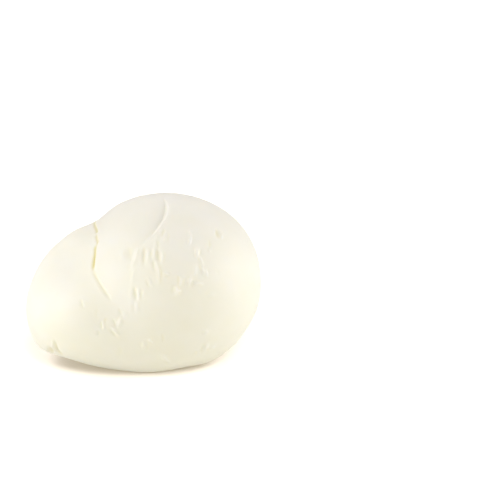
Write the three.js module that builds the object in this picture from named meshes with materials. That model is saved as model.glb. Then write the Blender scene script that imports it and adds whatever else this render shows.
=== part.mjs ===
// A ball of fresh mozzarella of 125 g, lying on the flat spot that its own weight gives it.
// Millimetres, +Z up, the origin on the resting surface under the middle of the ball.
//
// The skin is one function of direction. From a point inside, the heart, each direction meets the
// skin once, at the distance
//     lobes + swells + valley + crack + fold + marks,
// and what would reach below the resting surface is then pressed flat against it.
import * as THREE from "three";
import { mergeVertices } from "three/addons/utils/BufferGeometryUtils.js";

// A spot on the skin is [longitude, latitude] in degrees, as seen from the heart: longitude 0 is
// the front (-Y) and grows towards the right (+X), latitude 90 is the crown. Where a line or a mark
// shows from the eye, its places are given as pixels instead, across and down a square view.

// ---- driving dimensions ---------------------------------------------------------------------

const HEART = [0, 0, 25.5]; // every direction starts here
const CENTRING = [-0.08, -0.67, 0]; // how far the heart moves when the ball's box is centred
const SKIN_RADIUS = 29; // mean distance to the skin, which turns angles on it into millimetres

const VIEW = { pixels: 500, focalPixels: 1230 };
const EYE = { distance: 370, elevation: 15.4, aim: [-0.4, -0.5, 24.3], aimPixel: [143.5, 281.75] };

// Two lobes, pinched off the same curd: a round body and a lower, flatter one to its left.
const BODY = { centre: [6, 0, 25.5], radii: [29.7, 32, 25.05], tilt: -2.4 };
const LEFT_LOBE = { centre: [-8.6, -1, 18.8], radii: [30.6, 27.3, 19.85], tilt: 0 };
const LOBE_BLEND = 1.6; // how far the seam between the lobes is filled

// Broad soft swells and hollows: height in mm, reach as an angle in degrees.
const SWELLS = [
  { spot: [-76, 30], reach: 20, height: 3.5 }, // shoulder of the left lobe
  { spot: [-90, -6], reach: 22, height: -4.8 }, // its blunt end
  { spot: [-72, -38], reach: 22, height: -0.8 },
  { spot: [-68, -27], reach: 7, height: 1.0 }, // ragged corner low on its end
  { spot: [-61, -42], reach: 9, height: -0.35 },
  { spot: [-42, -50], reach: 22, height: -1.4 }, // its underside lifts clear
  { spot: [-36, 2], reach: 17, height: 1.3 }, // fills the seam between the lobes in front
  { spot: [-60, 72], reach: 20, height: -0.8 }, // slope from the crown to the crack
  { spot: [80, 45], reach: 24, height: -0.8 },
  { spot: [88, 5], reach: 24, height: -1.0 },
  { spot: [73, -26], reach: 9, height: -0.45 },
  { spot: [70, -38], reach: 24, height: 1.8 }, // heavy right underside
  { spot: [57, -47], reach: 8, height: 0.45 },
  { spot: [150, 8], reach: 34, height: 2.0 }, // back
  { spot: [-150, 5], reach: 26, height: -1.1 },
  { spot: [8, -61], reach: 14, height: 0.4 }, // sags in front
  { spot: [180, -86], reach: 28, height: 2.9 }, // foot, which the press flattens
];

const PRESS = 0.5; // the skin rolls onto the resting surface over this height

// The crack runs from the back over the left shoulder and down the front, in a shallow valley.
const CRACK_HIDDEN = [
  [-148, 24],
  [-134, 38],
  [-114, 47.5],
  [-100, 50.2],
]; // spots
const CRACK_SEEN = [
  [94, 222.5],
  [94.8, 226],
  [96.6, 230.5],
  [96.2, 234],
  [96.4, 238],
  [97.4, 242.5],
  [95, 247.5],
  [94.6, 253],
  [93.8, 259],
  [93.2, 265],
  [93, 270.5],
  [95.3, 276],
  [98.6, 282],
  [102.3, 288.5],
  [106.6, 294.5],
  [111.2, 300.5],
  [116.5, 305],
  [122, 309.5],
]; // pixels
const VALLEY = { depth: 1.15, halfWidth: 7, from: 0.12, to: 0.66, soft: 0.14 };
const VALLEY_BLEND = 4; // mm along the crack over which the ends of the valley are blended
const CRACK = { depth: 0.5, halfWidth: 0.6, from: 0.36, to: 0.785, soft: 0.014 };
const CREASE = { depth: 0.3, halfWidth: 0.6, from: 0.79, to: 0.935, soft: 0.025 };

// The fold is where the skin was closed over the crown: it sinks towards the route from the left
// and rises in a step to a low lip on the right.
const FOLD_SEEN = [
  [128.5, 276],
  [129.8, 268],
  [132.3, 260],
  [135, 252],
  [138.8, 247],
  [144.5, 242],
  [149.5, 237.5],
  [155, 231.8],
  [160.3, 224.5],
  [164.3, 217.5],
  [166.6, 210.5],
  [166.6, 204.5],
  [164.6, 199.8],
  [161, 196.3],
]; // pixels
const FOLD_HIDDEN = [[130, 76]]; // spots
const FOLD = { sink: 0.8, sinkReach: 2.8, lip: 0.25, lipReach: 1.4, step: 0.5 };
const FOLD_FULL = { from: 0.34, to: 0.75, soft: 0.12, share: 1 };
const FOLD_FAINT = { from: 0.08, to: 0.32, soft: 0.08, share: 0.3 };

// Marks are where strands of curd tore: a strand that stands up or, with a height below 0, a tear
// between two. Each runs from one pixel to another, and fades towards its ends, so it is built
// longer than it shows.
const MARK_HALF_WIDTH = 0.6;
const MARK_LENGTHENING = 1.15;
const MARKS_RIGHT = 0.5; // pixels, by which the marks lie to the right of their places
const MARKS = [
  // below the fold, where the curd was pinched off
  { from: [136.8, 245.5], to: [135, 262], height: 0.29 },
  { from: [135.5, 256], to: [130.5, 270], height: 0.17 },
  { from: [134.5, 267], to: [131, 286], height: 0.16 },
  { from: [131.5, 284], to: [129.5, 304], height: 0.16 },
  { from: [129.5, 246], to: [128.5, 262], height: -0.28 },
  { from: [144, 246.5], to: [142.8, 267.5], height: -0.29 },
  { from: [147.8, 248], to: [146.8, 266], height: 0.19 },
  { from: [153.8, 247], to: [153.2, 262], height: 0.18 },
  { from: [156.8, 247.5], to: [158.4, 263], height: -0.34 },
  { from: [161.6, 250], to: [162, 264], height: 0.28 },
  { from: [152.4, 258], to: [153.8, 272], height: -0.23 },
  { from: [158, 264], to: [158, 287], height: 0.18 },
  { from: [162.5, 273.3], to: [170, 273.6], height: 0.21 },
  { from: [133.8, 286], to: [135.8, 302], height: -0.28 },
  { from: [137.6, 286], to: [138.4, 301], height: 0.22 },
  { from: [137, 300], to: [136.6, 314], height: 0.16 },
  { from: [164, 228], to: [161, 238], height: -0.21 },
  { from: [163.8, 234], to: [161.8, 243], height: 0.27 },
  { from: [158, 240], to: [157.8, 250], height: -0.16 },
  // scattered over the right side
  { from: [189, 230], to: [190.3, 239], height: 0.21 },
  { from: [190.3, 237], to: [188, 246], height: 0.27 },
  { from: [196.6, 246], to: [195.6, 259], height: 0.37 },
  { from: [198, 255.5], to: [202.4, 266], height: 0.24 },
  { from: [194.8, 263], to: [193.6, 278], height: 0.2 },
  { from: [200.8, 265], to: [203.8, 277], height: 0.27 },
  { from: [204.6, 269], to: [206.7, 278], height: 0.27 },
  { from: [216.4, 229], to: [217.4, 238.5], height: -0.45 },
  { from: [220.2, 232], to: [220.8, 239], height: 0.29 },
  { from: [177.4, 275], to: [177.8, 285], height: -0.17 },
  { from: [180.8, 277], to: [180.4, 287], height: 0.22 },
  { from: [172.2, 284.5], to: [172.5, 294], height: -0.22 },
  { from: [176, 286], to: [176.6, 297], height: 0.4 },
  { from: [189.6, 277], to: [189.2, 286], height: 0.29 },
  { from: [194, 283], to: [203, 284], height: 0.18 },
  // on the crown
  { from: [144.8, 209], to: [144.2, 222], height: 0.16 },
  // on the left lobe and below the end of the crack
  { from: [78.8, 299], to: [84, 308.5], height: -0.22 },
  { from: [81.8, 299.5], to: [86, 307.5], height: 0.18 },
  { from: [103, 318.5], to: [103.5, 330], height: 0.18 },
  { from: [111.5, 325.5], to: [119, 336.5], height: 0.26 },
  { from: [121, 317], to: [117.5, 328], height: 0.25 },
  // low on the front
  { from: [147.5, 338.5], to: [152, 343], height: 0.3 },
  { from: [143.3, 341], to: [143.3, 348.5], height: 0.26 },
  { from: [158.3, 351.8], to: [169.7, 362.7], height: 0.45 },
  { from: [161.6, 358.6], to: [169.4, 365.9], height: -0.18 },
  { from: [206.4, 342], to: [202.2, 353.5], height: 0.27 },
  { from: [207, 348], to: [215, 347], height: 0.29 },
  { from: [215.4, 356.8], to: [220.6, 353.7], height: -0.22 },
  { from: [203, 330], to: [208, 333.5], height: 0.29 },
  { from: [54.8, 338], to: [61.3, 355], height: -0.39 },
  { from: [51.8, 340], to: [55.6, 352], height: 0.26 },
  { from: [57.8, 351.3], to: [61.7, 355.2], height: -0.45 },
  { from: [50.6, 346.7], to: [51.2, 353.2], height: -0.45 },
  { from: [52.8, 352.6], to: [56.3, 353.9], height: 0.29 },
];

// The mesh is finer where the skin has its crack, fold and marks.
const MESH_DETAIL = 22; // 20 (detail + 1)² triangles
const MESH_FOCUS = [-12, 30];
const MESH_CROWDING = 2; // how much finer the mesh is at its focus than on average
const MESH_PULL = { share: 0.55, reach: 2.2 }; // draws vertices towards the crack and the fold

const CURD = { color: 0xfaf5e6, roughness: 0.42, metalness: 0 };

// ---- directions and routes ------------------------------------------------------------------

function direction([longitude, latitude]) {
  const lon = THREE.MathUtils.degToRad(longitude);
  const lat = THREE.MathUtils.degToRad(latitude);
  return new THREE.Vector3(
    Math.cos(lat) * Math.sin(lon),
    -Math.cos(lat) * Math.cos(lon),
    Math.sin(lat),
  );
}

// A smooth route over the skin through directions, as directions at even steps of its length.
function route(knots, steps = 90) {
  const curve = new THREE.CatmullRomCurve3(knots, false, "catmullrom");
  return curve.getSpacedPoints(steps).map((point) => point.normalize());
}

// Where a direction lies beside a route: the nearest point of it, the distance from it in mm,
// positive on the right of the way along it, and the share of the route up to that point.
function beside(dir, points) {
  let nearest = { distance: Infinity };
  for (let i = 0; i + 1 < points.length; i++) {
    const line = new THREE.Line3(points[i], points[i + 1]);
    const share = line.closestPointToPointParameter(dir, true);
    const point = line.at(share, new THREE.Vector3());
    const distance = point.distanceTo(dir);
    if (distance < nearest.distance) nearest = { distance, point, share, i, line };
  }
  const along = nearest.line.delta(new THREE.Vector3());
  const right = along.cross(nearest.point);
  const side = Math.sign(right.dot(dir.clone().sub(nearest.point)));
  return {
    point: nearest.point,
    offset: side * nearest.distance * SKIN_RADIUS,
    share: (nearest.i + nearest.share) / (points.length - 1),
  };
}

// ---- the skin -------------------------------------------------------------------------------

// Distance from the heart to the far side of an ellipsoid turned by its tilt about Y: the larger
// root of |(dir t - centre) / radii| = 1.
function lobeReach(dir, { centre, radii, tilt }) {
  const size = new THREE.Vector3(...radii);
  const level = -THREE.MathUtils.degToRad(tilt);
  const intoLobe = (v) => v.applyAxisAngle(new THREE.Vector3(0, 1, 0), level).divide(size);
  const ray = intoLobe(dir.clone());
  const middle = intoLobe(new THREE.Vector3(...centre).sub(new THREE.Vector3(...HEART)));
  const a = ray.dot(ray);
  const b = ray.dot(middle);
  const c = middle.dot(middle) - 1;
  return (b + Math.sqrt(b * b - a * c)) / a;
}

function smoothMax(a, b, blend) {
  const most = Math.max(a, b);
  return most + blend * Math.log(Math.exp((a - most) / blend) + Math.exp((b - most) / blend));
}

function swellHeight(dir, { spot, reach, height }) {
  const away = 1 - dir.dot(direction(spot));
  return height * Math.exp(-away / (1 - Math.cos(THREE.MathUtils.degToRad(reach))));
}

// 1 between two shares of a route, falling softly to 0 beyond them.
function stretch(share, { from, to, soft }) {
  const rise = THREE.MathUtils.smoothstep(share, from - soft, from + soft);
  return rise * (1 - THREE.MathUtils.smoothstep(share, to - soft, to + soft));
}

const bell = (offset, halfWidth) => Math.exp(-((offset / halfWidth) ** 2));

// The share of a route beside a direction without the jumps that bends give it: the mean of the
// shares of its points, each weighted by exp(-(distance² - least²) / blend²).
function softShare(dir, points, blend) {
  const distances = points.map((point) => point.distanceTo(dir) * SKIN_RADIUS);
  const least = Math.min(...distances);
  let whole = 0;
  let sum = 0;
  distances.forEach((distance, i) => {
    const weight = Math.exp((least ** 2 - distance ** 2) / blend ** 2);
    whole += weight;
    sum += (weight * i) / (points.length - 1);
  });
  return sum / whole;
}

// A bell-shaped trough along a route.
const troughHeight = (cut, offset, share) =>
  -cut.depth * bell(offset, cut.halfWidth) * stretch(share, cut);

// Distance from the heart to the skin without its fine relief: the lobes, the swells and, once the
// crack's route is known, the valley along it.
function formReach(dir, crack) {
  const lobes = smoothMax(lobeReach(dir, BODY), lobeReach(dir, LEFT_LOBE), LOBE_BLEND);
  const form = SWELLS.reduce((sum, swell) => sum + swellHeight(dir, swell), lobes);
  if (!crack) return form;
  const share = softShare(dir, crack, VALLEY_BLEND);
  return form + troughHeight(VALLEY, beside(dir, crack).offset, share);
}

// The line of sight through a pixel, from an eye that has its aim at the aim's pixel: its pitch
// and yaw follow from the elevation and from that pixel's offsets from the middle of the view.
function sightThrough([across, down]) {
  const middle = VIEW.pixels / 2;
  const elevation = THREE.MathUtils.degToRad(EYE.elevation);
  const a = (EYE.aimPixel[0] - middle) / VIEW.focalPixels;
  const b = (middle - EYE.aimPixel[1]) / VIEW.focalPixels;
  const slant = Math.hypot(1, a, b) / Math.hypot(1, b);
  const pitch = Math.asin(slant * Math.sin(elevation)) + Math.atan(b);
  const yaw = Math.atan2(-a, Math.cos(pitch) + b * Math.sin(pitch));
  return new THREE.Vector3(across - middle, middle - down, -VIEW.focalPixels)
    .applyAxisAngle(new THREE.Vector3(1, 0, 0), Math.PI / 2 - pitch)
    .applyAxisAngle(new THREE.Vector3(0, 0, 1), -yaw)
    .normalize();
}

// The direction from the heart to where the line of sight through a pixel meets the form. The
// point starts well before the heart and moves on along the line, again and again, by a part of
// the gap left to the skin; on a line that misses the form it stops beside the heart.
function seenDirection(pixel, crack) {
  const sight = sightThrough(pixel);
  const eye = direction([0, EYE.elevation]).multiplyScalar(EYE.distance);
  eye.add(new THREE.Vector3(...EYE.aim));
  eye.sub(new THREE.Vector3(...HEART)).sub(new THREE.Vector3(...CENTRING));
  const besideHeart = eye.addScaledVector(sight, -sight.dot(eye));
  let before = 2 * SKIN_RADIUS;
  for (let i = 0; i < 80; i++) {
    const point = besideHeart.clone().addScaledVector(sight, -before);
    const gap = point.length() - formReach(point.clone().normalize(), crack);
    before = Math.max(before - 0.7 * gap, 0);
  }
  return besideHeart.addScaledVector(sight, -before).normalize();
}

// The crack's route is found twice: the second time on the form with its valley.
function crackRoute(crack) {
  const seen = CRACK_SEEN.map((pixel) => seenDirection(pixel, crack));
  return route([...CRACK_HIDDEN.map(direction), ...seen]);
}

const crackPoints = crackRoute(crackRoute());
const foldPoints = route([
  ...FOLD_SEEN.map((pixel) => seenDirection(pixel, crackPoints)),
  ...FOLD_HIDDEN.map(direction),
]);

// A mark with its ends as directions.
function seenMark({ from, to, height }) {
  const middle = new THREE.Vector2((from[0] + to[0]) / 2 + MARKS_RIGHT, (from[1] + to[1]) / 2);
  const half = new THREE.Vector2(to[0] - from[0], to[1] - from[1]);
  half.multiplyScalar(MARK_LENGTHENING / 2);
  const end = (side) => middle.clone().addScaledVector(half, side).toArray();
  return {
    start: seenDirection(end(-1), crackPoints),
    end: seenDirection(end(1), crackPoints),
    height,
  };
}

const marks = MARKS.map(seenMark);

// The crack and the crease that carries it on.
function crackHeight(dir) {
  const { offset, share } = beside(dir, crackPoints);
  return troughHeight(CRACK, offset, share) + troughHeight(CREASE, offset, share);
}

function foldHeight(dir) {
  const { offset, share } = beside(dir, foldPoints);
  const strength = [FOLD_FULL, FOLD_FAINT].reduce(
    (sum, part) => sum + part.share * stretch(share, part),
    0,
  );
  const right = THREE.MathUtils.smoothstep(offset, -FOLD.step, FOLD.step);
  const sunk = -FOLD.sink * Math.exp(-Math.abs(offset) / FOLD.sinkReach);
  const lip = FOLD.lip * bell(offset, FOLD.lipReach);
  return strength * ((1 - right) * sunk + right * lip);
}

// height bell(u) (1 - v²)², with u across the mark in half widths and v along it, from -1 at its
// start to 1 at its end.
function markHeight(dir, { start, end, height }) {
  const middle = start.clone().add(end).normalize();
  const along = end.clone().sub(start);
  const v = (2 * dir.dot(along)) / along.lengthSq();
  if (Math.abs(v) > 1 || dir.dot(middle) < 0) return 0;
  const across = along.normalize().cross(middle);
  const u = (dir.dot(across) * SKIN_RADIUS) / MARK_HALF_WIDTH;
  return height * bell(u, 1) * (1 - v * v) ** 2;
}

// The soft floor: heights above PRESS are kept, those below -PRESS become 0.
function press(height) {
  if (height > PRESS) return height;
  return height < -PRESS ? 0 : (height + PRESS) ** 2 / (4 * PRESS);
}

function skinPoint(dir) {
  const relief = marks.reduce((sum, mark) => sum + markHeight(dir, mark), 0);
  const distance = formReach(dir, crackPoints) + crackHeight(dir) + foldHeight(dir) + relief;
  const point = dir.clone().multiplyScalar(distance).add(new THREE.Vector3(...HEART));
  return point.setZ(press(point.z));
}

// ---- the mesh -------------------------------------------------------------------------------

// Moves directions towards the focus without turning any small triangle out of shape: the
// tangent of half the angle to the focus is divided by the crowding.
function crowd(dir, focus, crowding) {
  const c = dir.dot(focus);
  const whole = crowding ** 2 * (1 + c) + (1 - c);
  const towards = crowding ** 2 * (1 + c) - (1 - c) - 2 * crowding * c;
  const moved = dir.clone().multiplyScalar(2 * crowding).addScaledVector(focus, towards);
  return moved.divideScalar(whole);
}

// Moves a direction towards a route by a share of its distance that falls off with that distance.
function pullTowards(dir, points, { share, reach }) {
  const { point, offset } = beside(dir, points);
  return dir.clone().lerp(point, share * bell(offset, reach)).normalize();
}

function skinGeometry() {
  const ball = new THREE.IcosahedronGeometry(1, MESH_DETAIL);
  ball.deleteAttribute("normal");
  ball.deleteAttribute("uv");
  const geometry = mergeVertices(ball);
  const position = geometry.getAttribute("position");
  const focus = direction(MESH_FOCUS);
  for (let i = 0; i < position.count; i++) {
    let dir = new THREE.Vector3().fromBufferAttribute(position, i).normalize();
    dir = crowd(dir, focus, MESH_CROWDING);
    dir = pullTowards(dir, crackPoints, MESH_PULL);
    dir = pullTowards(dir, foldPoints, MESH_PULL);
    position.setXYZ(i, ...skinPoint(dir).toArray());
  }
  geometry.computeBoundingBox();
  const middle = geometry.boundingBox.getCenter(new THREE.Vector3());
  geometry.translate(-middle.x, -middle.y, 0);
  geometry.computeVertexNormals();
  return geometry;
}

const ball = new THREE.Mesh(skinGeometry(), new THREE.MeshStandardMaterial(CURD));
ball.name = "mozzarella_ball";

const group = new THREE.Group();
group.add(ball);

export default group;
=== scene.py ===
"""A ball of fresh mozzarella on a pale ground, in soft studio light.

The ball's skin is worked out as one function of direction from a point inside it, the heart, on
six square grids of directions that wrap the ball like the sides of a blown-up cube. Sizes on the
ball are in millimetres and become metres where a mesh is made.
"""

import bpy
import numpy as np
from mathutils import Euler, Matrix, Vector


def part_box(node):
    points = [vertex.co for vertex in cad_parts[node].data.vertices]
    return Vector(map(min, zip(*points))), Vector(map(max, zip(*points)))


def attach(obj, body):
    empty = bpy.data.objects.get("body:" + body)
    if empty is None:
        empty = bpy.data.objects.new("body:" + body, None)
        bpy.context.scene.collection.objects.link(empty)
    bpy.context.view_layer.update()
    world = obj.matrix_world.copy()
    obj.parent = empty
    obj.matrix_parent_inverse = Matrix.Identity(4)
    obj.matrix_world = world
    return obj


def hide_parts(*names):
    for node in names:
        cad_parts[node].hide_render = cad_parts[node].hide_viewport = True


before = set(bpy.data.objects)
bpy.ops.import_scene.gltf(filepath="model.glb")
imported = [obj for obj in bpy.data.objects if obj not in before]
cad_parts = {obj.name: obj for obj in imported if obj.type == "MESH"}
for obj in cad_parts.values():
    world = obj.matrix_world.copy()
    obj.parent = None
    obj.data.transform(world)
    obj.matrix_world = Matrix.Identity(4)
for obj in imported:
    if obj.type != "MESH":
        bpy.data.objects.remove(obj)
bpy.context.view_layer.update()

NODE = "mozzarella_ball"
MM = 0.001

# ---- the camera -----------------------------------------------------------------------------

FRAME_PIXELS = 500
SENSOR_MM = 36
FOCAL_PIXELS = 1230
CAMERA_DISTANCE = 0.370
CAMERA_ELEVATION = 15.4  # degrees above the level, as seen from the ball
AIM = Vector((-0.0004, -0.0005, 0.0243))  # the point of the ball under BALL_PIXEL
BALL_PIXEL = (143.5, 281.75)

# Where a line of sight meets the ball is found in steps along it.
SIGHT_STEPS = 80
SIGHT_SHARE = 0.7  # each step's share of the gap that is left to the skin

# ---- the form, in mm ------------------------------------------------------------------------

# A spot is (longitude, latitude) in degrees as seen from the heart: longitude 0 is the front (-Y)
# and grows towards the right (+X), latitude 90 is the crown. Where a line or a mark shows from the
# camera, its places are given as pixels instead, across and down the frame.
HEART = np.array([0.0, 0.0, 25.5])
CENTRING = np.array([-0.08, -0.67, 0.0])  # how far the heart moves when the ball's box is centred
SKIN_RADIUS = 29.0  # mean distance from the heart to the skin: turns angles into mm along it

# Two lobes, pinched off the same curd: a round body and a lower, flatter one to its left.
BODY = {"centre": (6, 0, 25.5), "radii": (29.7, 32, 25.05), "tilt": -2.4}
LEFT_LOBE = {"centre": (-8.6, -1, 18.8), "radii": (30.6, 27.3, 19.85), "tilt": 0}
LOBE_BLEND = 1.6

# Broad soft swells and hollows: spot, reach in degrees, height in mm.
SWELLS = [
    ((-76, 30), 20, 3.5),  # shoulder of the left lobe
    ((-90, -6), 22, -4.8),  # its blunt end
    ((-72, -38), 22, -0.8),
    ((-68, -27), 7, 1.0),  # ragged corner low on its end
    ((-61, -42), 9, -0.35),
    ((-42, -50), 22, -1.4),  # its underside lifts clear
    ((-36, 2), 17, 1.3),  # fills the seam between the lobes in front
    ((-60, 72), 20, -0.8),  # slope from the crown to the crack
    ((80, 45), 24, -0.8),
    ((88, 5), 24, -1.0),
    ((73, -26), 9, -0.45),
    ((70, -38), 24, 1.8),  # heavy right underside
    ((57, -47), 8, 0.45),
    ((150, 8), 34, 2.0),  # back
    ((-150, 5), 26, -1.1),
    ((8, -61), 14, 0.4),  # sags in front
    ((180, -86), 28, 2.9),  # foot, which the press flattens
]
PRESS = 0.5  # the skin rolls onto the resting surface over this height

# The crack runs from the back over the left shoulder and down the front, in a shallow valley.
CRACK_HIDDEN = [(-148, 24), (-134, 38), (-114, 47.5), (-100, 50.2)]  # spots
CRACK_SEEN = [  # pixels
    (94, 222.5), (94.8, 226), (96.6, 230.5), (96.2, 234), (96.4, 238), (97.4, 242.5),
    (95, 247.5), (94.6, 253), (93.8, 259), (93.2, 265), (93, 270.5), (95.3, 276),
    (98.6, 282), (102.3, 288.5), (106.6, 294.5), (111.2, 300.5), (116.5, 305), (122, 309.5),
]
VALLEY = {"depth": 1.15, "half_width": 7, "between": (0.12, 0.66), "soft": 0.14}
VALLEY_BLEND = 4  # mm along the crack over which the valley's ends are blended
SLITS = [  # where the skin is torn open, with a thin bridge and a narrow place left between
    {"depth": 0.34, "half_width": 0.5, "between": (0.36, 0.562), "soft": 0.012},
    {"depth": 0.26, "half_width": 0.45, "between": (0.582, 0.655), "soft": 0.012},
    {"depth": 0.4, "half_width": 0.5, "between": (0.665, 0.785), "soft": 0.014},
    {"depth": 0.12, "half_width": 0.65, "between": (0.715, 0.77), "soft": 0.02},
]
CREASE = {"depth": 0.3, "half_width": 0.55, "between": (0.79, 0.935), "soft": 0.025}

# The fold is where the skin was closed over the crown: it sinks towards the route from the left
# and rises in a step to a low lip on the right.
FOLD_SEEN = [  # pixels
    (128.5, 276), (129.8, 268), (132.3, 260), (135, 252), (138.8, 247), (144.5, 242), (149.5, 237.5),
    (155, 231.8), (160.3, 224.5), (164.3, 217.5), (166.6, 210.5), (166.6, 204.5), (164.6, 199.8),
    (161, 196.3),
]
FOLD_HIDDEN = [(130, 76)]  # spots
FOLD = {"sink": 0.8, "sink_reach": 2.8, "lip": 0.25, "lip_reach": 1.4, "step": 0.5}
FOLD_FULL = {"between": (0.34, 0.75), "soft": 0.12, "share": 1.0}
FOLD_FAINT = {"between": (0.08, 0.32), "soft": 0.08, "share": 0.3}

# Marks are the finest relief, where strands of curd tore: a strand that stands up or a tear
# between two. Each one runs from one pixel to another, and has a half width and a height in mm,
# which is below 0 for a tear. It fades towards its ends, so it is built longer than it shows.
MARK_LENGTHENING = 1.15
MARKS_RIGHT = 0.5  # pixels, by which the marks lie to the right of their places
MARKS = [
    # below the fold, where the curd was pinched off
    ((136.8, 245.5), (135, 262), 0.55, 0.3),
    ((135.5, 256), (130.5, 270), 0.5, 0.19),
    ((134.5, 267), (131, 286), 0.45, 0.18),
    ((131.5, 284), (129.5, 304), 0.6, 0.16),
    ((129.5, 246), (128.5, 262), 0.95, -0.22),
    ((122, 249), (121.5, 259), 0.65, 0.14),
    ((144, 246.5), (142.8, 267.5), 0.5, -0.32),
    ((147.8, 248), (146.8, 266), 0.45, 0.22),
    ((150.6, 247), (150.2, 262), 0.25, -0.11),
    ((153.8, 247), (153.2, 262), 0.35, 0.24),
    ((156.8, 247.5), (158.4, 263), 0.55, -0.35),
    ((161.6, 250), (162, 264), 0.45, 0.32),
    ((152.4, 258), (153.8, 272), 0.45, -0.27),
    ((155.5, 260), (158, 272), 0.35, 0.19),
    ((158, 264), (158, 287), 0.35, 0.24),
    ((160.5, 264), (160.8, 283), 0.4, -0.16),
    ((162.5, 273.3), (170, 273.6), 0.35, 0.27),
    ((163, 276.2), (169, 276.2), 0.3, -0.09),
    ((146.5, 276), (152.5, 288), 0.3, 0.19),
    ((145.6, 279), (148.5, 288), 0.3, -0.16),
    ((133.8, 286), (135.8, 302), 0.45, -0.32),
    ((137.6, 286), (138.4, 301), 0.4, 0.27),
    ((140.6, 288), (140.6, 301), 0.3, -0.16),
    ((143.8, 288), (143.8, 300), 0.45, 0.16),
    ((134, 300), (133.6, 312), 0.35, -0.09),
    ((137, 300), (136.6, 314), 0.45, 0.19),
    ((130.3, 298), (130.3, 316), 0.4, 0.11),
    ((164, 228), (161, 238), 0.35, -0.27),
    ((163.8, 234), (161.8, 243), 0.5, 0.3),
    ((158, 240), (157.8, 250), 0.4, -0.19),
    ((155, 238.5), (154.5, 247), 0.35, 0.14),
    ((168, 230), (166.8, 247), 0.3, -0.14),
    ((157, 232), (155, 240), 0.3, 0.14),
    # scattered over the right side
    ((189, 230), (190.3, 239), 0.35, 0.35),
    ((190.3, 237), (188, 246), 0.35, 0.45),
    ((196.6, 246), (195.6, 259), 0.5, 0.53),
    ((192.8, 248), (192.5, 258), 0.3, -0.07),
    ((198, 255.5), (202.4, 266), 0.35, 0.42),
    ((200.5, 248), (199.8, 258), 0.3, -0.08),
    ((194.8, 263), (193.6, 278), 0.5, 0.29),
    ((200.8, 265), (203.8, 277), 0.35, 0.45),
    ((204.6, 269), (206.7, 278), 0.35, 0.45),
    ((203, 267), (204.6, 274), 0.25, -0.14),
    ((208, 269), (208.4, 278), 0.25, -0.11),
    ((208.8, 239), (208.6, 249.5), 0.35, -0.19),
    ((208.6, 248), (208.6, 253), 0.35, 0.25),
    ((216.4, 229), (217.4, 238.5), 0.65, -0.57),
    ((220.2, 232), (220.8, 239), 0.4, 0.45),
    ((177.4, 275), (177.8, 285), 0.35, -0.22),
    ((180.8, 277), (180.4, 287), 0.4, 0.35),
    ((181, 278), (186, 277.4), 0.3, 0.14),
    ((172.2, 284.5), (172.5, 294), 0.45, -0.22),
    ((176, 286), (176.6, 297), 0.65, 0.45),
    ((175, 290), (181, 290.8), 0.35, 0.21),
    ((189.6, 277), (189.2, 286), 0.4, 0.45),
    ((192, 279.5), (191.2, 288), 0.35, -0.19),
    ((194, 283), (203, 284), 0.4, 0.29),
    ((206.5, 296.5), (215, 294.5), 0.55, 0.14),
    ((217, 267), (217.6, 278), 0.25, -0.08),
    # on the crown
    ((181.2, 204), (177.3, 221), 0.5, 0.16),
    ((144.8, 209), (144.2, 222), 0.6, 0.16),
    # on the left lobe and below the end of the crack
    ((78.8, 299), (84, 308.5), 0.45, -0.27),
    ((81.8, 299.5), (86, 307.5), 0.45, 0.18),
    ((105.8, 317), (103.6, 324), 0.4, -0.2),
    ((100, 321), (100.8, 329), 0.35, -0.22),
    ((103, 318.5), (103.5, 330), 0.35, 0.3),
    ((97.8, 329.5), (97.4, 337), 0.3, -0.27),
    ((96.5, 308), (96.5, 320), 0.35, -0.1),
    ((111.5, 325.5), (119, 336.5), 0.4, 0.38),
    ((108.5, 328), (116, 337.5), 0.35, -0.2),
    ((112, 318), (115.5, 328), 0.35, -0.22),
    ((121, 317), (117.5, 328), 0.5, 0.41),
    ((119.3, 307), (120, 317), 0.5, -0.2),
    ((124.3, 309), (125, 320), 0.4, 0.17),
    ((121, 342), (118, 359), 0.55, -0.15),
    # low on the front
    ((162, 333), (162, 343), 0.3, -0.19),
    ((147.5, 338.5), (152, 343), 0.45, 0.35),
    ((143.3, 341), (143.3, 348.5), 0.4, 0.32),
    ((147.8, 341), (145, 354), 0.25, -0.11),
    ((158.3, 351.8), (169.7, 362.7), 0.6, 0.49),
    ((161.6, 358.6), (169.4, 365.9), 0.4, -0.22),
    ((203.4, 342.5), (199.4, 352), 0.4, -0.16),
    ((206.4, 342), (202.2, 353.5), 0.55, 0.46),
    ((203.4, 353.9), (209.1, 353.1), 0.35, -0.11),
    ((207, 348), (215, 347), 0.6, 0.35),
    ((195.9, 350.4), (193.7, 355.6), 0.4, -0.11),
    ((198.4, 349.9), (196.6, 355.6), 0.4, 0.32),
    ((215.4, 356.8), (220.6, 353.7), 0.4, -0.27),
    ((203, 330), (208, 333.5), 0.55, 0.38),
    ((54.8, 338), (61.3, 355), 0.5, -0.66),
    ((51.8, 340), (55.6, 352), 0.4, 0.54),
    ((57.8, 351.3), (61.7, 355.2), 0.45, -1.08),
    ((50.6, 346.7), (51.2, 353.2), 0.55, -1.15),
    ((52.8, 352.6), (56.3, 353.9), 0.35, 0.54),
]

# Tufts are marks scattered over the sides away from the fold, each round a spot: the spot, the
# reach in degrees and the number of marks.
TUFTS = [
    ((132, 36), 24, 24),
    ((-150, 6), 22, 22),
    ((172, -12), 16, 12),
    ((98, -16), 15, 10),
    ((-112, 22), 14, 8),
]
# Painted shade: the colour turns golden in the crack's slits, the crease and the tears, more so the
# deeper they are, for the shade and the light trapped in these recesses.
CRACK_SHADE = 1.9  # share of painted golden shade in the colour, for each mm of depth
CREASE_SHADE = 0.5
TEAR_SHADE = 0.34

# ---- the grid -------------------------------------------------------------------------------

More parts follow.
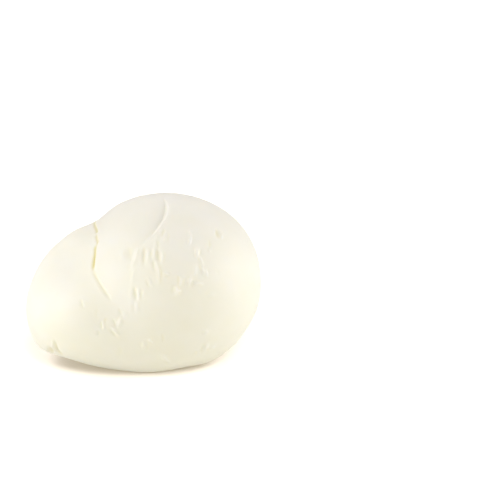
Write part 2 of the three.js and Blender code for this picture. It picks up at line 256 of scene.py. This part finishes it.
GRID_CELLS = 127  # along each side of each of the six grids
GRID_FOCUS = (-12, 30)
GRID_CROWDING = 1.7  # how much finer the grid is at its focus than on average
GRID_PULL_SHARE = 0.5  # draws grid lines towards the crack and the fold
GRID_PULL_REACH = 2.2  # mm

# ---- directions and routes ------------------------------------------------------------------


def direction(longitude, latitude):
    """Unit vector (cos lat sin lon, -cos lat cos lon, sin lat) of angles in degrees."""
    lon, lat = np.radians(longitude), np.radians(latitude)
    return np.stack([np.cos(lat) * np.sin(lon), -np.cos(lat) * np.cos(lon), np.sin(lat)], axis=-1)


def unit(vectors):
    """Each vector divided by its own length."""
    return vectors / np.linalg.norm(vectors, axis=-1, keepdims=True)


def route(knots, steps=90):
    """Directions at even steps along the Catmull-Rom curve through the knots, which are directions.

    Between p1 and p2 the curve is (2 p1 + (p2 - p0) t + (2 p0 - 5 p1 + 4 p2 - p3) t^2
    + (3 p1 - p0 - 3 p2 + p3) t^3) / 2, with t from 0 to 1.
    """
    knots = np.vstack([2 * knots[0] - knots[1], knots, 2 * knots[-1] - knots[-2]])
    p0, p1, p2, p3 = (knots[i : len(knots) - 3 + i, None] for i in range(4))
    t = np.linspace(0, 1, 20, endpoint=False)[None, :, None]
    curve = 2 * p1 + (p2 - p0) * t + (2 * p0 - 5 * p1 + 4 * p2 - p3) * t**2
    curve = (curve + (3 * p1 - p0 - 3 * p2 + p3) * t**3) / 2
    curve = unit(np.vstack([curve.reshape(-1, 3), knots[-2:-1]]))
    length = np.concatenate([[0], np.cumsum(np.linalg.norm(np.diff(curve, axis=0), axis=1))])
    even = np.linspace(0, length[-1], steps + 1)
    return unit(np.stack([np.interp(even, length, curve[:, k]) for k in range(3)], axis=-1))


def beside(dirs, points):
    """For each direction: the nearest point of a route, the distance from it in mm, positive on
    the right of the way along it, and the share of the route up to that point."""
    distance = np.full(len(dirs), np.inf)
    nearest = np.zeros_like(dirs)
    side = np.ones(len(dirs))
    share = np.zeros(len(dirs))
    for i, (start, end) in enumerate(zip(points[:-1], points[1:])):
        along = end - start
        t = np.clip((dirs - start) @ along / (along @ along), 0, 1)
        foot = start + t[:, None] * along
        away = dirs - foot
        length = np.linalg.norm(away, axis=1)
        closer = length < distance
        distance = np.where(closer, length, distance)
        nearest = np.where(closer[:, None], foot, nearest)
        side = np.where(closer, np.sign(away @ np.cross(along, start)), side)
        share = np.where(closer, (i + t) / (len(points) - 1), share)
    return nearest, side * distance * SKIN_RADIUS, share


# ---- the skin -------------------------------------------------------------------------------


def lobe_reach(dirs, centre, radii, tilt):
    """Distance along each direction from the heart to the far side of an ellipsoid turned by its
    tilt about Y: the larger root t of |(dir t - centre) / radii| = 1."""
    into_lobe = np.array(Matrix.Rotation(-np.radians(tilt), 3, "Y"))
    ray = (dirs @ into_lobe.T) / radii
    middle = into_lobe @ (np.array(centre) - HEART) / radii
    a = np.sum(ray * ray, axis=1)
    b = ray @ middle
    c = middle @ middle - 1
    return (b + np.sqrt(b * b - a * c)) / a


def smooth_max(a, b, blend):
    """blend log(exp(a / blend) + exp(b / blend)): the larger of two, rounded where they meet."""
    return blend * np.logaddexp(a / blend, b / blend)


def swell_height(dirs, spot, reach, height):
    """height exp(-(1 - cos angle) / (1 - cos reach)), with the angle measured from the spot."""
    away = 1 - dirs @ direction(*spot)
    return height * np.exp(-away / (1 - np.cos(np.radians(reach))))


def smooth_step(x, low, high):
    """0 below low, 1 above high, 3 t^2 - 2 t^3 between them."""
    t = np.clip((x - low) / (high - low), 0, 1)
    return t * t * (3 - 2 * t)


def stretch(share, between, soft):
    """1 between two shares of a route, falling softly to 0 beyond them."""
    low, high = between
    return smooth_step(share, low - soft, low + soft) * (1 - smooth_step(share, high - soft, high + soft))


def bell(offset, half_width):
    """exp(-(offset / half width)^2)."""
    return np.exp(-((offset / half_width) ** 2))


def soft_share(dirs, points, blend):
    """The share of a route beside each direction without the jumps that bends give it: the mean of
    the shares of all points of the route, weighted by exp(-(distance^2 - least^2) / blend^2)."""
    share = np.linspace(0, 1, len(points))[::3]
    distance = SKIN_RADIUS * np.sqrt(np.maximum(2 - 2 * dirs @ points[::3].T, 0))
    least = distance.min(axis=1, keepdims=True)
    weight = np.exp((least**2 - distance**2) / blend**2)
    return weight @ share / weight.sum(axis=1)


def cut_depth(offset, share, depth, half_width, between, soft):
    """A bell-shaped trough along a route, open between two shares of it."""
    return depth * bell(offset, half_width) * stretch(share, between, soft)


def form_reach(dirs, crack=None):
    """Distance from the heart to the skin without its fine relief: the lobes, the swells and, once
    the crack's route is known, the valley along it."""
    distance = smooth_max(lobe_reach(dirs, **BODY), lobe_reach(dirs, **LEFT_LOBE), LOBE_BLEND)
    distance += sum(swell_height(dirs, *swell) for swell in SWELLS)
    if crack is not None:
        _, offset, _ = beside(dirs, crack)
        distance -= cut_depth(offset, soft_share(dirs, crack, VALLEY_BLEND), **VALLEY)
    return distance


def camera_pose():
    """Place and turn of a camera that sees AIM at BALL_PIXEL, without shift: its pitch and yaw are
    worked out from the elevation and from the pixel's offsets from the middle of the frame."""
    elevation = np.radians(CAMERA_ELEVATION)
    place = AIM + CAMERA_DISTANCE * Vector((0, -np.cos(elevation), np.sin(elevation)))
    a = (BALL_PIXEL[0] - FRAME_PIXELS / 2) / FOCAL_PIXELS
    b = (FRAME_PIXELS / 2 - BALL_PIXEL[1]) / FOCAL_PIXELS
    slant = np.sqrt(1 + a * a + b * b)
    pitch = np.arcsin(slant * np.sin(elevation) / np.sqrt(1 + b * b)) + np.arctan(b)
    yaw = np.arctan2(-a, np.cos(pitch) + b * np.sin(pitch))
    return place, Euler((np.pi / 2 - pitch, 0, -yaw))


def seen_spots(pixels, crack=None):
    """Directions from the heart to where the lines of sight through the pixels meet the form. Each
    point starts well before the heart and moves on along its line, again and again, by a part of
    the gap left to the skin; on a line that misses the form it stops beside the heart."""
    place, turn = camera_pose()
    across, down = np.array(pixels, float).T
    ahead = np.full(len(across), -float(FOCAL_PIXELS))
    sight = np.stack([across - FRAME_PIXELS / 2, FRAME_PIXELS / 2 - down, ahead], axis=-1)
    sight = unit(sight @ np.array(turn.to_matrix()).T)
    camera = np.array(place) / MM - (HEART + CENTRING)
    beside_heart = camera - (sight @ camera)[:, None] * sight
    before = np.full(len(sight), 2.0 * SKIN_RADIUS)
    for _ in range(SIGHT_STEPS):
        points = beside_heart - before[:, None] * sight
        gap = np.linalg.norm(points, axis=1) - form_reach(unit(points), crack)
        before = np.maximum(before - SIGHT_SHARE * gap, 0)
    return unit(beside_heart - before[:, None] * sight)


def crack_route():
    """The crack's route, found twice: the second time on the form with its valley."""
    hidden = direction(*np.transpose(CRACK_HIDDEN))
    first = route(np.vstack([hidden, seen_spots(CRACK_SEEN)]))
    return route(np.vstack([hidden, seen_spots(CRACK_SEEN, first)]))


def fold_route(crack):
    """The fold's route, on the form with its valley."""
    return route(np.vstack([seen_spots(FOLD_SEEN, crack), direction(*np.transpose(FOLD_HIDDEN))]))


def fold_height(offset, share):
    """Right of the route a low bell-shaped lip; left of it the skin sinks as
    -sink exp(-|offset| / reach); a smooth step joins the two."""
    strength = sum(f["share"] * stretch(share, f["between"], f["soft"]) for f in (FOLD_FULL, FOLD_FAINT))
    right = smooth_step(offset, -FOLD["step"], FOLD["step"])
    sunk = -FOLD["sink"] * np.exp(-np.abs(offset) / FOLD["sink_reach"])
    lip = FOLD["lip"] * bell(offset, FOLD["lip_reach"])
    return strength * ((1 - right) * sunk + right * lip)


def mark_height(dirs, start, end, half_width, height):
    """height bell(u) (1 - v^2)^2, with u across the mark in half widths and v along it, from -1 at
    its start to 1 at its end."""
    middle = unit(start + end)
    along = unit(end - start)
    u = dirs @ np.cross(along, middle) * SKIN_RADIUS / half_width
    v = dirs @ along / (np.linalg.norm(end - start) / 2)
    inside = (np.abs(v) < 1) & (dirs @ middle > 0)
    return np.where(inside, height * bell(u, 1) * (1 - v * v) ** 2, 0)


def seen_marks(crack):
    """The marks with their ends as directions."""
    start, end = (np.array([mark[i] for mark in MARKS], float) for i in (0, 1))
    middle = (start + end) / 2 + (MARKS_RIGHT, 0)
    half = (end - start) / 2 * MARK_LENGTHENING
    starts = seen_spots(middle - half, crack)
    ends = seen_spots(middle + half, crack)
    return [(a, b, half_width, height) for a, b, (_, _, half_width, height) in zip(starts, ends, MARKS)]


def tuft(middle, reach, count):
    """Marks scattered by chance round a spot, thicker near it, the same way on each run."""
    chance = np.random.default_rng(count)
    marks = []
    for i in range(count):
        across, up = chance.normal(0, reach / 2, 2)
        half_length, lean = chance.uniform(2.5, 6), chance.normal(0, 2.5)
        longitude, latitude = middle[0] + across / np.cos(np.radians(middle[1])), middle[1] + up
        start = direction(longitude + lean, latitude + half_length)
        end = direction(longitude - lean, latitude - half_length)
        height = chance.uniform(0.1, 0.24) * (-1) ** i
        marks.append((start, end, chance.uniform(0.4, 0.7), height))
    return marks


def press(height):
    """The soft floor: heights above PRESS are kept, those below -PRESS become 0, and between them
    (height + PRESS)^2 / (4 PRESS)."""
    rolled = (height + PRESS) ** 2 / (4 * PRESS)
    return np.where(height > PRESS, height, np.where(height < -PRESS, 0, rolled))


def skin(dirs, crack, fold):
    """Points of the skin in mm, and the share of painted shade at each one, which grows with the depth of
    the slits, the crease and the tears.
    """
    _, crack_offset, crack_share = beside(dirs, crack)
    _, fold_offset, fold_share = beside(dirs, fold)
    slit = sum(cut_depth(crack_offset, crack_share, **cut) for cut in SLITS)
    crease = cut_depth(crack_offset, crack_share, **CREASE)
    marks = seen_marks(crack) + [mark for spread in TUFTS for mark in tuft(*spread)]
    heights = [mark_height(dirs, *mark) for mark in marks]
    distance = form_reach(dirs, crack) - slit - crease
    distance += fold_height(fold_offset, fold_share) + sum(heights)
    points = HEART + dirs * distance[:, None]
    points[:, 2] = press(points[:, 2])
    tears = sum(np.maximum(-height, 0) for height in heights)
    # painted shade: deeper slits, crease and tears get a more golden colour
    recess_shade = CRACK_SHADE * slit + CREASE_SHADE * crease + TEAR_SHADE * tears
    return points, recess_shade


# ---- the mesh -------------------------------------------------------------------------------


def cube_directions(cells):
    """Directions of the six grids, and the quads between them, with shared edges merged.

    On each side of a cube the two parameters run over angles from -45 to 45 degrees, and the
    direction is that of (1, tan a, tan b), turned to that side.
    """
    angle = np.radians(np.linspace(-45, 45, cells + 1))
    a, b = np.meshgrid(np.tan(angle), np.tan(angle), indexing="ij")
    patch = np.stack([np.ones_like(a), a, b], axis=-1).reshape(-1, 3)
    corner = np.arange(cells * (cells + 1)).reshape(cells, cells + 1)[:, :-1].ravel()
    quad = np.stack([corner, corner + cells + 1, corner + cells + 2, corner + 1], axis=1)
    sides, quads = [], []
    for axis in range(3):
        for sign in (1, -1):
            turned = np.roll(patch * (sign, 1, 1), axis, axis=1)
            quads.append((quad if sign > 0 else quad[:, ::-1]) + len(sides) * len(patch))
            sides.append(turned)
    dirs = unit(np.vstack(sides))
    _, first, merged = np.unique(np.round(dirs, 7), axis=0, return_index=True, return_inverse=True)
    return dirs[first], merged.reshape(-1)[np.vstack(quads)]


def crowd(dirs, focus, crowding):
    """Moves directions towards the focus: the tangent of half the angle to it is divided by the
    crowding, which keeps every small square square."""
    c = (dirs @ focus)[:, None]
    whole = crowding**2 * (1 + c) + (1 - c)
    towards = crowding**2 * (1 + c) - (1 - c) - 2 * crowding * c
    return (2 * crowding * dirs + towards * focus) / whole


def pull_towards(dirs, points):
    """Moves directions towards a route by a share of their distance that falls off with it."""
    nearest, offset, _ = beside(dirs, points)
    share = GRID_PULL_SHARE * bell(offset, GRID_PULL_REACH)
    return unit(dirs + share[:, None] * (nearest - dirs))


def make_ball():
    """The ball as one closed mesh in place, its box centred on the CAD node's."""
    dirs, quads = cube_directions(GRID_CELLS)
    dirs = unit(crowd(dirs, direction(*GRID_FOCUS), GRID_CROWDING))
    crack = crack_route()
    fold = fold_route(crack)
    dirs = pull_towards(pull_towards(dirs, crack), fold)
    points, recess_shade = skin(dirs, crack, fold)
    points *= MM
    low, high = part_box(NODE)
    middle = (points.min(axis=0) + points.max(axis=0)) / 2
    points[:, :2] += (np.array(low + high) / 2 - middle)[:2]
    mesh = bpy.data.meshes.new("mozzarella")
    mesh.from_pydata(points, [], quads)
    mesh.polygons.foreach_set("use_smooth", np.ones(len(quads), bool))
    # the painted shade of the recesses goes with the mesh to its material
    depth = mesh.attributes.new("recess_shade", "FLOAT", "POINT")
    depth.data.foreach_set("value", recess_shade.astype(np.float32))
    mesh.update()
    ball = bpy.data.objects.new("mozzarella", mesh)
    bpy.context.scene.collection.objects.link(ball)
    return ball


# ---- materials ------------------------------------------------------------------------------


def linear(hex_colour):
    """An sRGB hex colour as linear red, green, blue and an alpha of 1."""
    values = [int(hex_colour[i : i + 2], 16) / 255 for i in (1, 3, 5)]
    return [v / 12.92 if v <= 0.04045 else ((v + 0.055) / 1.055) ** 2.4 for v in values] + [1]


def add_node(tree, kind, settings=None, links=None):
    """Adds a node: settings are its properties and input values by name, links its inputs by name
    with the output socket that each takes."""
    node = tree.nodes.new(kind)
    for name, value in (settings or {}).items():
        if name in node.inputs:
            node.inputs[name].default_value = value
        else:
            setattr(node, name, value)
    for name, socket in (links or {}).items():
        tree.links.new(socket, node.inputs[name])
    return node


def new_material(name):
    """An empty node material and its output node."""
    material = bpy.data.materials.new(name)
    material.use_nodes = True
    material.node_tree.nodes.clear()
    return material, add_node(material.node_tree, "ShaderNodeOutputMaterial")


def fresh_mozzarella():
    """Fresh mozzarella: stretched curd, wet from its whey. Light passes a few millimetres into it,
    which softens every shadow, and the wet skin has a satin gloss. Its colour turns golden in
    painted shade along the crack, the crease and the tears."""
    material, output = new_material("fresh mozzarella, stretched curd")
    tree = material.node_tree
    place = add_node(tree, "ShaderNodeTexCoord").outputs["Object"]
    recess_shade = add_node(tree, "ShaderNodeAttribute", {"attribute_name": "recess_shade"}).outputs["Fac"]
    clouds = add_node(tree, "ShaderNodeTexNoise", {"Scale": 1 / 0.012, "Detail": 2.0}, {"Vector": place})
    curd = add_node(
        tree,
        "ShaderNodeMix",
        {"data_type": "RGBA", "A": linear("#FCF9EE"), "B": linear("#F8F3E2")},
        {"Factor": clouds.outputs["Fac"]},
    )
    # painted shade: the curd is mixed towards a golden colour by the depth of the recesses
    shade_painted_curd = add_node(
        tree,
        "ShaderNodeMix",
        {"data_type": "RGBA", "B": linear("#EBE6AE")},
        {"Factor": recess_shade, "A": curd.outputs["Result"]},
    )
    grain = add_node(tree, "ShaderNodeTexNoise", {"Scale": 1 / 0.0011, "Detail": 3.0}, {"Vector": place})
    bump = add_node(
        tree, "ShaderNodeBump", {"Strength": 0.25, "Distance": 0.00008}, {"Height": grain.outputs["Fac"]}
    )
    shader = add_node(
        tree,
        "ShaderNodeBsdfPrincipled",
        {
            "Roughness": 0.42,
            "IOR": 1.42,
            "Subsurface Weight": 1.0,
            "Subsurface Radius": (1.0, 0.95, 0.85),
            "Subsurface Scale": 0.002,
        },
        {"Base Color": shade_painted_curd.outputs["Result"], "Normal": bump.outputs["Normal"]},
    )
    tree.links.new(shader.outputs["BSDF"], output.inputs["Surface"])
    return material


def white_ground():
    """Matt white sheet, lit through from below, so that the eye sees it as pure white and the
    ball's shadow on it as pale. The ball gets its light back from it more evenly than the eye
    does: less that the sheet reflects and more that it glows."""
    material, output = new_material("matt white ground")
    tree = material.node_tree
    seen = add_node(tree, "ShaderNodeLightPath").outputs["Is Camera Ray"]
    white = add_node(
        tree,
        "ShaderNodeMix",
        {"data_type": "RGBA", "A": linear("#797875"), "B": linear("#E0DBD3")},
        {"Factor": seen},
    )
    glow = add_node(
        tree,
        "ShaderNodeMix",
        {"data_type": "RGBA", "A": linear("#AEA99A"), "B": linear("#2C2620")},
        {"Factor": seen},
    )
    shader = add_node(
        tree,
        "ShaderNodeBsdfPrincipled",
        {"Roughness": 0.8, "Emission Strength": 1.0},
        {"Base Color": white.outputs["Result"], "Emission Color": glow.outputs["Result"]},
    )
    tree.links.new(shader.outputs["BSDF"], output.inputs["Surface"])
    return material


# ---- studio ---------------------------------------------------------------------------------

SURROUND = "#FFF7F6"
SURROUND_STRENGTH = 0.55


def make_camera():
    place, turn = camera_pose()
    data = bpy.data.cameras.new("camera")
    data.sensor_width = SENSOR_MM
    data.lens = SENSOR_MM * FOCAL_PIXELS / FRAME_PIXELS
    data.clip_start = 0.01
    camera = bpy.data.objects.new("camera", data)
    camera.location = place
    camera.rotation_euler = turn
    bpy.context.scene.collection.objects.link(camera)
    bpy.context.scene.camera = camera


def make_floor():
    """A wide level plane under the ball."""
    half = 4.0
    mesh = bpy.data.meshes.new("ground")
    corners = [(-half, -half, 0), (half, -half, 0), (half, half, 0), (-half, half, 0)]
    mesh.from_pydata(corners, [], [(0, 1, 2, 3)])
    mesh.materials.append(white_ground())
    floor = bpy.data.objects.new("ground", mesh)
    bpy.context.scene.collection.objects.link(floor)
    return floor


def softbox(name, azimuth, elevation, distance, size, power):
    """A rectangular area light aimed at the ball. Azimuth 0 is the front, 90 the right."""
    data = bpy.data.lights.new(name, "AREA")
    data.shape = "RECTANGLE"
    data.size, data.size_y = size
    data.energy = power
    light = bpy.data.objects.new(name, data)
    out = Vector(direction(azimuth, elevation))
    light.location = AIM + distance * out
    light.rotation_euler = out.to_track_quat("Z", "Y").to_euler()
    bpy.context.scene.collection.objects.link(light)


def ground_lamp(name, floor, azimuth, elevation, power):
    """A distant round lamp, 16 degrees wide as seen from the ball, that lights the ground alone."""
    data = bpy.data.lights.new(name, "SUN")
    data.angle = np.radians(16)
    data.energy = power
    lamp = bpy.data.objects.new(name, data)
    lamp.rotation_euler = Vector(direction(azimuth, elevation)).to_track_quat("Z", "Y").to_euler()
    bpy.context.scene.collection.objects.link(lamp)
    lit = bpy.data.collections.new(name)
    lit.objects.link(floor)
    lamp.light_linking.receiver_collection = lit


def make_surround():
    """The room around the ball: pale warm walls, which the camera sees as pure white."""
    world = bpy.data.worlds.new("pale surround")
    world.use_nodes = True
    tree = world.node_tree
    walls = tree.nodes["Background"]
    walls.inputs["Color"].default_value = linear(SURROUND)
    walls.inputs["Strength"].default_value = SURROUND_STRENGTH
    backdrop = add_node(tree, "ShaderNodeBackground", {"Color": linear("#FFFFFF"), "Strength": 1.1})
    seen = add_node(tree, "ShaderNodeLightPath").outputs["Is Camera Ray"]
    mix = add_node(tree, "ShaderNodeMixShader", {}, {"Fac": seen})
    tree.links.new(walls.outputs["Background"], mix.inputs[1])
    tree.links.new(backdrop.outputs["Background"], mix.inputs[2])
    tree.links.new(mix.outputs["Shader"], tree.nodes["World Output"].inputs["Surface"])
    bpy.context.scene.world = world


def make_light(floor):
    """Broad softboxes at each side, well round from the camera, in a pale room, and lamps in front
    for the ground alone, which flags keep off the ball."""
    box = (0.5, 0.5)
    softbox("left softbox", -78, 10, 0.8, box, 2.4)
    softbox("left high softbox", -76, 56, 0.8, box, 1.0)
    softbox("left front softbox", -45, 30, 0.8, box, 0.75)
    softbox("right softbox", 80, 12, 0.8, box, 2.15)
    softbox("right high softbox", 80, 45, 0.8, box, 0.3)
    softbox("right back softbox", 110, 12, 0.8, box, 1.0)
    softbox("back softbox", 180, 35, 0.8, box, 0.4)
    ground_lamp("left ground lamp", floor, -24, 42, 1.8)
    ground_lamp("front ground lamp", floor, 10, 34, 2.6)
    ground_lamp("right ground lamp", floor, 62, 40, 1.15)
    make_surround()
    bpy.context.scene.view_settings.view_transform = "Standard"


make_camera()
make_light(make_floor())
ball = make_ball()
ball.data.materials.append(fresh_mozzarella())
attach(ball, "root")
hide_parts(NODE)

bpy.context.view_layer.update()
